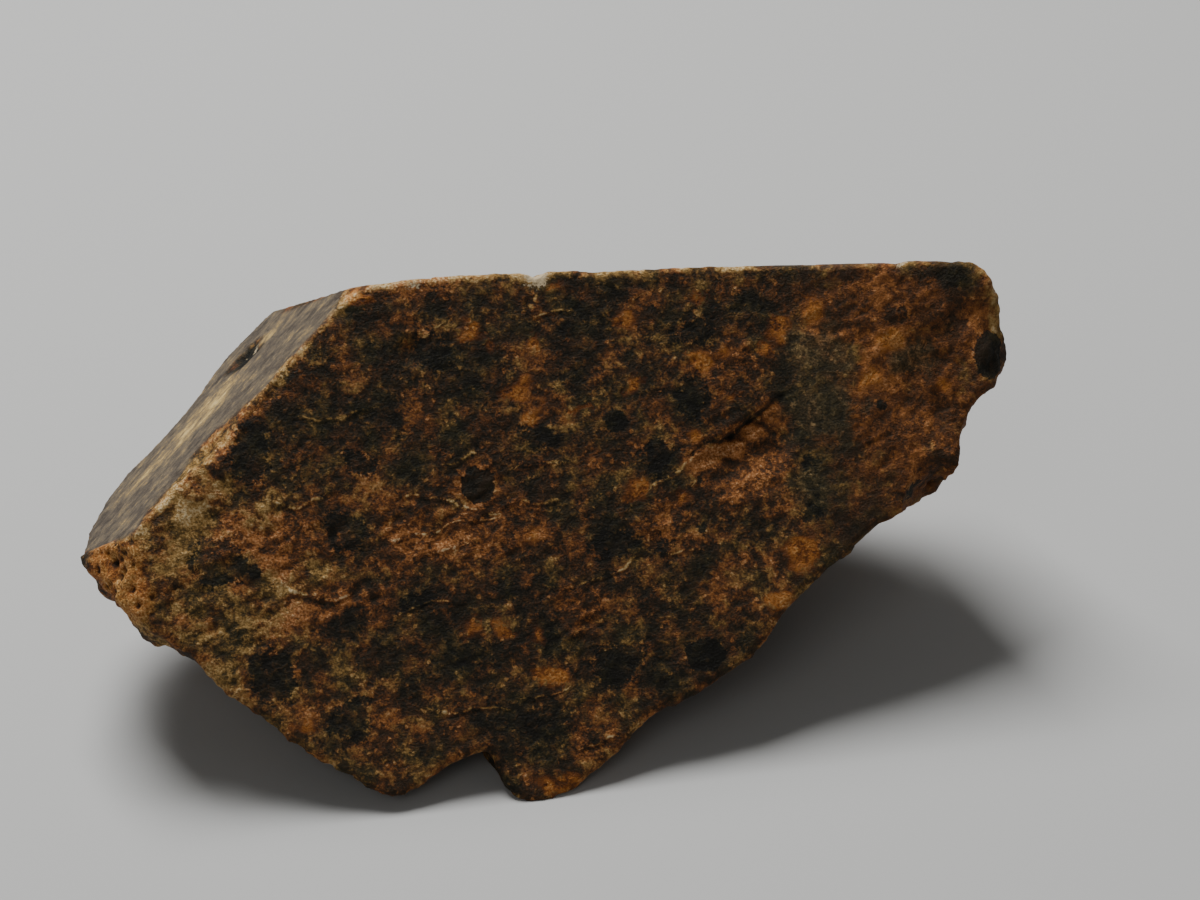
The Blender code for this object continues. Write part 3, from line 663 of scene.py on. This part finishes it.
class Shader:
    """Short calls for the nodes of one material."""

    def __init__(self, name):
        self.material = bpy.data.materials.new(name)
        self.material.use_nodes = True
        self.nodes = self.material.node_tree.nodes
        self.links = self.material.node_tree.links
        self.surface = self.nodes["Principled BSDF"]

    def put(self, socket, value):
        """Give a socket a number, a colour or another node's output."""
        if isinstance(value, bpy.types.NodeSocket):
            self.links.new(value, socket)
        elif isinstance(value, tuple) and len(value) == 3 and socket.type == "RGBA":
            socket.default_value = (*value, 1.0)
        else:
            socket.default_value = value

    def attribute(self, name):
        """A number kept at the points of the mesh."""
        node = self.nodes.new("ShaderNodeAttribute")
        node.attribute_name = name
        return node.outputs["Fac"]

    def places(self, scale=(1.0, 1.0, 1.0)):
        """Places on the object in millimetres, drawn out by a scale."""
        node = self.nodes.new("ShaderNodeVectorMath")
        node.operation = "MULTIPLY"
        self.links.new(self.nodes.new("ShaderNodeTexCoord").outputs["Object"], node.inputs[0])
        node.inputs[1].default_value = tuple(share / MM for share in scale)
        return node.outputs[0]

    def pair(self, first, second):
        """Places made of two numbers."""
        node = self.nodes.new("ShaderNodeCombineXYZ")
        self.put(node.inputs[0], first)
        self.put(node.inputs[1], second)
        return node.outputs[0]

    def noise(self, places, size, detail=2.0, roughness=0.5):
        """Smooth noise from 0 to 1, with lumps of a size in millimetres."""
        node = self.nodes.new("ShaderNodeTexNoise")
        self.put(node.inputs["Vector"], places)
        node.inputs["Scale"].default_value = 1.0 / size
        node.inputs["Detail"].default_value = detail
        node.inputs["Roughness"].default_value = roughness
        return node.outputs["Fac"]

    def cells(self, places, size):
        """A number from 0 to 1 for each cell of a size in millimetres."""
        node = self.nodes.new("ShaderNodeTexVoronoi")
        self.put(node.inputs["Vector"], places)
        node.inputs["Scale"].default_value = 1.0 / size
        split = self.nodes.new("ShaderNodeSeparateColor")
        self.put(split.inputs[0], node.outputs["Color"])
        return split.outputs[0]

    def math(self, operation, first, second=0.0, third=0.0):
        """One sum on numbers."""
        node = self.nodes.new("ShaderNodeMath")
        node.operation = operation
        for socket, value in zip(node.inputs, (first, second, third)):
            self.put(socket, value)
        return node.outputs[0]

    def ramp(self, value, low, high):
        """0 below low, 1 above high, and smooth between them."""
        node = self.nodes.new("ShaderNodeMapRange")
        node.interpolation_type = "SMOOTHSTEP"
        self.put(node.inputs["Value"], value)
        falling = low > high
        node.inputs["From Min"].default_value = high if falling else low
        node.inputs["From Max"].default_value = low if falling else high
        node.inputs["To Min"].default_value = 1.0 if falling else 0.0
        node.inputs["To Max"].default_value = 0.0 if falling else 1.0
        return node.outputs["Result"]

    def mix(self, share, first, second):
        """From the first colour to the second by a share."""
        node = self.nodes.new("ShaderNodeMix")
        node.data_type = "RGBA"
        self.put(node.inputs["Factor"], share)
        self.put(node.inputs[6], first)
        self.put(node.inputs[7], second)
        return node.outputs[2]

    def centred(self, value):
        """A value from 0 to 1 moved to lie about 0."""
        return self.math("SUBTRACT", value, 0.5)

    def sum(self, start, *terms):
        """A start plus each value times its weight."""
        total = start
        for weight, value in terms:
            total = self.math("MULTIPLY_ADD", value, weight, total)
        return total

    def colours(self, share, stops):
        """A colour from a row of stops, each with its place and its colour."""
        node = self.nodes.new("ShaderNodeValToRGB")
        self.put(node.inputs["Fac"], share)
        ramp = node.color_ramp
        while len(ramp.elements) < len(stops):
            ramp.elements.new(1.0)
        for element, (place, colour) in zip(ramp.elements, stops):
            element.position = place
            element.color = (*colour, 1.0)
        return node.outputs["Color"]

    def bump(self, height, depth):
        """Fine relief of a depth in millimetres."""
        node = self.nodes.new("ShaderNodeBump")
        node.inputs["Distance"].default_value = depth * MM
        self.put(node.inputs["Height"], height)
        return node.outputs[0]


# Colours of the stone by tone, from dark to light: rust brown, mustard, the orange spots, the left and top
# saw cuts, whose pale gold is partly a painted sheen, and the grey-green patches
RUST_COLOURS = (
    (0.00, (0.006, 0.005, 0.003)),
    (0.22, (0.016, 0.012, 0.006)),
    (0.42, (0.046, 0.022, 0.009)),
    (0.58, (0.128, 0.045, 0.013)),
    (0.74, (0.300, 0.108, 0.025)),
    (0.90, (0.480, 0.228, 0.092)),
    (1.00, (0.640, 0.430, 0.240)),
)
MUSTARD_COLOURS = (
    (0.00, (0.006, 0.006, 0.003)),
    (0.22, (0.016, 0.015, 0.006)),
    (0.42, (0.042, 0.031, 0.011)),
    (0.58, (0.118, 0.068, 0.019)),
    (0.74, (0.290, 0.165, 0.045)),
    (0.90, (0.480, 0.310, 0.125)),
    (1.00, (0.620, 0.470, 0.260)),
)
ORANGE_COLOURS = (
    (0.00, (0.008, 0.005, 0.003)),
    (0.42, (0.070, 0.022, 0.005)),
    (0.58, (0.190, 0.056, 0.007)),
    (0.74, (0.380, 0.135, 0.016)),
    (1.00, (0.600, 0.330, 0.110)),
)
CUT_AND_SHEEN_COLOURS = (
    (0.00, (0.040, 0.028, 0.018)),
    (0.25, (0.085, 0.064, 0.044)),
    (0.45, (0.155, 0.118, 0.072)),
    (0.62, (0.310, 0.205, 0.080)),
    (0.82, (0.560, 0.385, 0.140)),
    (1.00, (0.700, 0.550, 0.280)),
)
GREY_COLOURS = (
    (0.00, (0.007, 0.007, 0.004)),
    (0.25, (0.022, 0.019, 0.009)),
    (0.45, (0.052, 0.042, 0.018)),
    (0.65, (0.110, 0.080, 0.034)),
    (1.00, (0.400, 0.300, 0.150)),
)
CREAM = (0.560, 0.440, 0.270)


class Stone(Shader):
    """Dark, rusty, grainy stone, paler and smoother on the left and top saw cuts, where the paleness is
    partly a painted sheen.
    """

    def __init__(self):
        super().__init__("chondrite")
        places = self.places()
        self.fine = self.noise(places, 0.10, 2.0, 0.6)
        self.middle = self.noise(places, 0.34, 3.0, 0.62)
        self.blotch = self.noise(places, 0.95)
        self.broad = self.noise(places, 2.6)
        self.tint = self.noise(places, 1.1)
        self.grains = self.cells(places, 0.15)
        self.ragged = self.sum(0.0, (0.9, self.centred(self.middle)), (0.7, self.centred(self.fine)))
        # Thin ridged lines: fine relief in the bump, and painted pale as highlights on lit grain edges where
        # the face is coarse
        ridges_and_highlights = self.noise(self.places((0.55, 0.9, 1.3)), 0.42, 3.0, 0.6)
        self.ridges_and_highlights = self.ramp(self.math("ABSOLUTE", self.centred(ridges_and_highlights)), 0.03, 0.0)

        self.rough = self.attribute("rough")
        self.tan = self.attribute("tan")
        self.corner = self.attribute("corner")
        self.cut = self.attribute("cut")
        self.spot = self.mark("rust", 0.12, -0.15)
        # Painted light on the slope under the fissure's lip
        self.slope = self.mark("slope", 0.15, -0.1)
        self.worn = self.find_worn()
        self.line = self.find_crack_highlights()

    def mark(self, name, outer, inner):
        """1 inside a mark and 0 outside it, with a ragged edge between two distances from its outline."""
        return self.ramp(self.math("ADD", self.attribute(name), self.ragged), outer, inner)

    def find_worn(self):
        """How much the stone is worn pale: chips, rims and a little of the corner."""
        rim = self.math("MULTIPLY", self.attribute("rim"), 0.75)
        rim = self.math("MAXIMUM", rim, self.attribute("right_rim"))
        edges = self.math("MAXIMUM", self.attribute("chips"), rim)
        return self.math("MAXIMUM", edges, self.math("MULTIPLY", self.corner, 0.4))

    def find_crack_highlights(self):
        """Painted highlights: thin broken pale lines along the ridges of the cracks."""
        line = self.ramp(self.math("ABSOLUTE", self.attribute("crack")), 0.09, 0.01)
        line = self.math("MULTIPLY", line, self.attribute("cracked"))
        return self.math("MULTIPLY", line, self.ramp(self.middle, 0.42, 0.54))

    def mottled_tone(self):
        """How light the stone is, from its mottling and the marks with ragged edges."""
        middle, fine = self.centred(self.middle), self.centred(self.fine)
        island = self.ramp(self.sum(0.0, (1.0, self.blotch), (0.7, middle), (0.3, fine)), 0.42, 0.60)
        coarse = self.sum(0.3, (0.7, self.rough), (0.4, self.tan))
        return self.sum(
            0.372,
            (0.10, island),
            (0.70, self.centred(self.broad)),
            (0.50, self.centred(self.blotch)),
            (0.85, middle),
            (0.55, fine),
            (0.08, self.centred(self.grains)),
            # Painted glints: rare grains painted pale as if catching the light
            (0.17, self.ramp(self.grains, 0.93, 0.97)),
            # Painted highlights on the lit edges of grains where the face is coarse
            (0.14, self.math("MULTIPLY", self.ridges_and_highlights, coarse)),
            (0.14, self.rough),
            (0.20, self.tan),
            (0.10, self.corner),
            (0.24, self.worn),
            (0.26, self.spot),
            # The slope under the fissure's lip is painted lighter, as painted light
            (0.34, self.slope),
            (-0.27, self.mark("patch", 0.12, -0.15)),
            (-0.12, self.mark("dim", 0.35, -0.45)),
            # Pits are painted darker, as painted shade inside them
            (-0.35, self.attribute("pits")),
            # Painted shadow under the lip of the fissure
            (-0.28, self.attribute("lip")),
            # Painted highlight on raised places and painted shade in hollows, from each point's height above
            # the smoothed surface
            (1.6, self.attribute("ridge")),
            (0.3, self.attribute("knoll")),
        )

    def calmed(self, tone):
        """A tone drawn towards its middle at the right end, and kept from growing too pale anywhere."""
        share = self.math("MULTIPLY", self.attribute("calm"), 0.38)
        tone = self.math("MULTIPLY_ADD", self.math("SUBTRACT", 0.53, tone), share, tone)
        palest = self.sum(0.78, (0.14, self.worn), (-0.06, self.corner), (1.0, self.centred(self.fine)))
        return self.math("MINIMUM", tone, palest)

    def with_chondrules(self, tone):
        """A tone darkened in the chondrules, with a slightly lighter halo around each."""
        fine, middle = self.centred(self.fine), self.centred(self.middle)
        outside = self.sum(0.0, (1.0, self.attribute("chondrule")), (0.20, fine), (0.40, middle))
        chondrule = self.ramp(outside, 0.04, -0.06)
        halo = self.math("MULTIPLY", self.ramp(outside, 0.30, 0.06), self.math("SUBTRACT", 1.0, chondrule))
        tone = self.sum(0.0, (1.0, tone), (-0.30, chondrule), (0.06, halo))
        return self.math("MINIMUM", tone, self.sum(1.0, (-0.70, chondrule)))

    def skin_colour(self):
        """The mottled rust, mustard, orange and grey-green of the face and the broken skin."""
        tone = self.with_chondrules(self.calmed(self.mottled_tone()))
        # Painted highlights along the crack ridges lighten the tone
        tone = self.sum(0.0, (1.0, tone), (0.28, self.line))
        mustard = self.sum(
            0.38,
            (2.2, self.centred(self.tint)),
            (1.5, self.centred(self.middle)),
            (0.28, self.tan),
            (-0.45, self.rough),
            (0.30, self.worn),
            (-0.20, self.corner),
            (0.4, self.line),
            (-0.5, self.spot),
            (-0.3, self.slope),
        )
        rust_colour = self.colours(tone, RUST_COLOURS)
        colour = self.mix(self.ramp(mustard, 0.10, 0.90), rust_colour, self.colours(tone, MUSTARD_COLOURS))
        orange = self.math("MAXIMUM", self.spot, self.math("MULTIPLY", self.corner, 0.6))
        colour = self.mix(self.math("MULTIPLY", orange, 0.75), colour, self.colours(tone, ORANGE_COLOURS))
        return self.with_grey_patches(colour, tone)

    def with_grey_patches(self, colour, tone):
        """The colour with the grey-green patches part laid over it."""
        fine, middle, blotch = self.centred(self.fine), self.centred(self.middle), self.centred(self.blotch)
        outside = self.sum(0.0, (1.0, self.attribute("grey")), (3.0, blotch), (1.0, self.ragged))
        share = self.math("MULTIPLY", self.ramp(outside, 0.6, -0.9), 0.6)
        grey_tone = self.sum(0.12, (0.95, tone), (0.5, fine), (0.4, middle))
        return self.mix(share, colour, self.colours(grey_tone, GREY_COLOURS))

    def cut_colour_and_sheen(self):
        """The paler colour of the left and top saw cuts, partly their own and partly a painted sheen, drawn
        out along the left one, with gold zones.
        """
        along = self.math("MULTIPLY", self.attribute("along"), 0.45)
        streaks = self.noise(self.pair(along, self.attribute("depth")), 0.40, 3.0, 0.65)
        gold = self.sum(0.0, (1.0, self.attribute("gold")), (2.0, self.centred(self.blotch)))
        tone = self.sum(
            0.32,
            (0.6, self.centred(self.middle)),
            (1.0, self.centred(streaks)),
            (0.8, self.centred(self.blotch)),
            (0.5, self.centred(self.fine)),
            (0.30, self.ramp(gold, 0.7, -0.7)),
        )
        return self.colours(tone, CUT_AND_SHEEN_COLOURS)

    def build(self):
        """Set the shader of the stone."""
        # The saw cuts take their paler colour, partly a painted sheen
        paler = self.sum(0.0, (0.30, self.cut), (0.70, self.attribute("left_cut")))
        colour = self.mix(paler, self.skin_colour(), self.cut_colour_and_sheen())
        fine, middle = self.centred(self.fine), self.centred(self.middle)
        chip = self.ramp(self.sum(0.0, (1.0, self.attribute("chip")), (0.9, fine), (0.5, middle)), 0.06, -0.1)
        height = self.sum(0.0, (0.5, self.fine), (0.8, self.middle), (0.12, self.grains), (0.08, self.ridges_and_highlights))
        height = self.math("MULTIPLY", height, self.sum(1.0, (-0.6, self.cut)))

        self.put(self.surface.inputs["Base Color"], self.mix(chip, colour, CREAM))
        self.put(self.surface.inputs["Roughness"], self.sum(0.80, (-0.12, self.cut)))
        self.put(self.surface.inputs["Coat Weight"], self.sum(0.0, (0.05, self.cut)))
        self.put(self.surface.inputs["Normal"], self.bump(height, 0.13))
        self.surface.inputs["Specular IOR Level"].default_value = 0.25
        self.surface.inputs["Coat Roughness"].default_value = 0.4
        return self.material


def build_floor():
    """A plain pale floor."""
    data = bpy.data.meshes.new("floor")
    signs = ((-1.0, -1.0), (1.0, -1.0), (1.0, 1.0), (-1.0, 1.0))
    data.from_pydata([(x * FLOOR_HALF, y * FLOOR_HALF, 0.0) for x, y in signs], [], [(0, 1, 2, 3)])
    shader = Shader("pale floor")
    shader.put(shader.surface.inputs["Base Color"], FLOOR_COLOUR)
    shader.put(shader.surface.inputs["Roughness"], 0.9)
    data.materials.append(shader.material)
    floor = bpy.data.objects.new("floor", data)
    bpy.context.scene.collection.objects.link(floor)


def add_light(name, place, size, power):
    """A square soft light that looks at the stone. Its place and size are in millimetres."""
    light = bpy.data.lights.new(name, "AREA")
    light.size = size * MM
    light.energy = power
    lamp = bpy.data.objects.new(name, light)
    lamp.location = Vector(place) * MM
    lamp.rotation_euler = (Vector(LIGHTS_TARGET) * MM - lamp.location).to_track_quat("-Z", "Y").to_euler()
    bpy.context.scene.collection.objects.link(lamp)


def build_lights():
    """Soft light from above and behind, with a weak fill from the front."""
    add_light("key", place=(-50.0, 120.0, 280.0), size=140.0, power=1.30)
    add_light("fill", place=(-120.0, -220.0, 220.0), size=160.0, power=0.09)
    world = bpy.data.worlds.new("soft room")
    world.use_nodes = True
    background = world.node_tree.nodes["Background"]
    background.inputs["Color"].default_value = (*ROOM_COLOUR, 1.0)
    background.inputs["Strength"].default_value = ROOM_STRENGTH
    bpy.context.scene.world = world


def build_camera(face):
    """The camera, a little left of the face and above it."""
    target = face.point(*CAMERA_TARGET)
    flat = math.cos(CAMERA_ELEVATION)
    sideways = math.sin(CAMERA_AZIMUTH) * flat
    forwards = math.cos(CAMERA_AZIMUTH) * flat
    outward = Vector((sideways, -forwards, math.sin(CAMERA_ELEVATION)))
    camera = bpy.data.objects.new("camera", bpy.data.cameras.new("camera"))
    camera.data.lens = CAMERA_LENS
    camera.data.clip_start = MM
    camera.location = target + outward * CAMERA_DISTANCE * MM
    camera.rotation_euler = (target - camera.location).to_track_quat("-Z", "Y").to_euler()
    bpy.context.scene.collection.objects.link(camera)
    bpy.context.scene.camera = camera


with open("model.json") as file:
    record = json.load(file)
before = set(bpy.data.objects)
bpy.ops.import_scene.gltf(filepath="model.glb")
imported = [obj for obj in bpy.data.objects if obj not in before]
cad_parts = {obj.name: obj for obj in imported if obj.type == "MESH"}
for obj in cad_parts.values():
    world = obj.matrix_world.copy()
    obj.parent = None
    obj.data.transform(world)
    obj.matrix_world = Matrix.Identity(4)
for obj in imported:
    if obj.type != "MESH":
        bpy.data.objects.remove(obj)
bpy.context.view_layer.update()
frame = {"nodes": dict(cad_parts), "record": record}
face_frame = FaceFrame(frame["record"])
build_camera(face_frame)
build_floor()
build_lights()
meteorite = build_surface(frame["nodes"]["stone"], face_frame)
meteorite.data.materials.append(Stone().build())
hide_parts("stone")
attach(meteorite, "root")
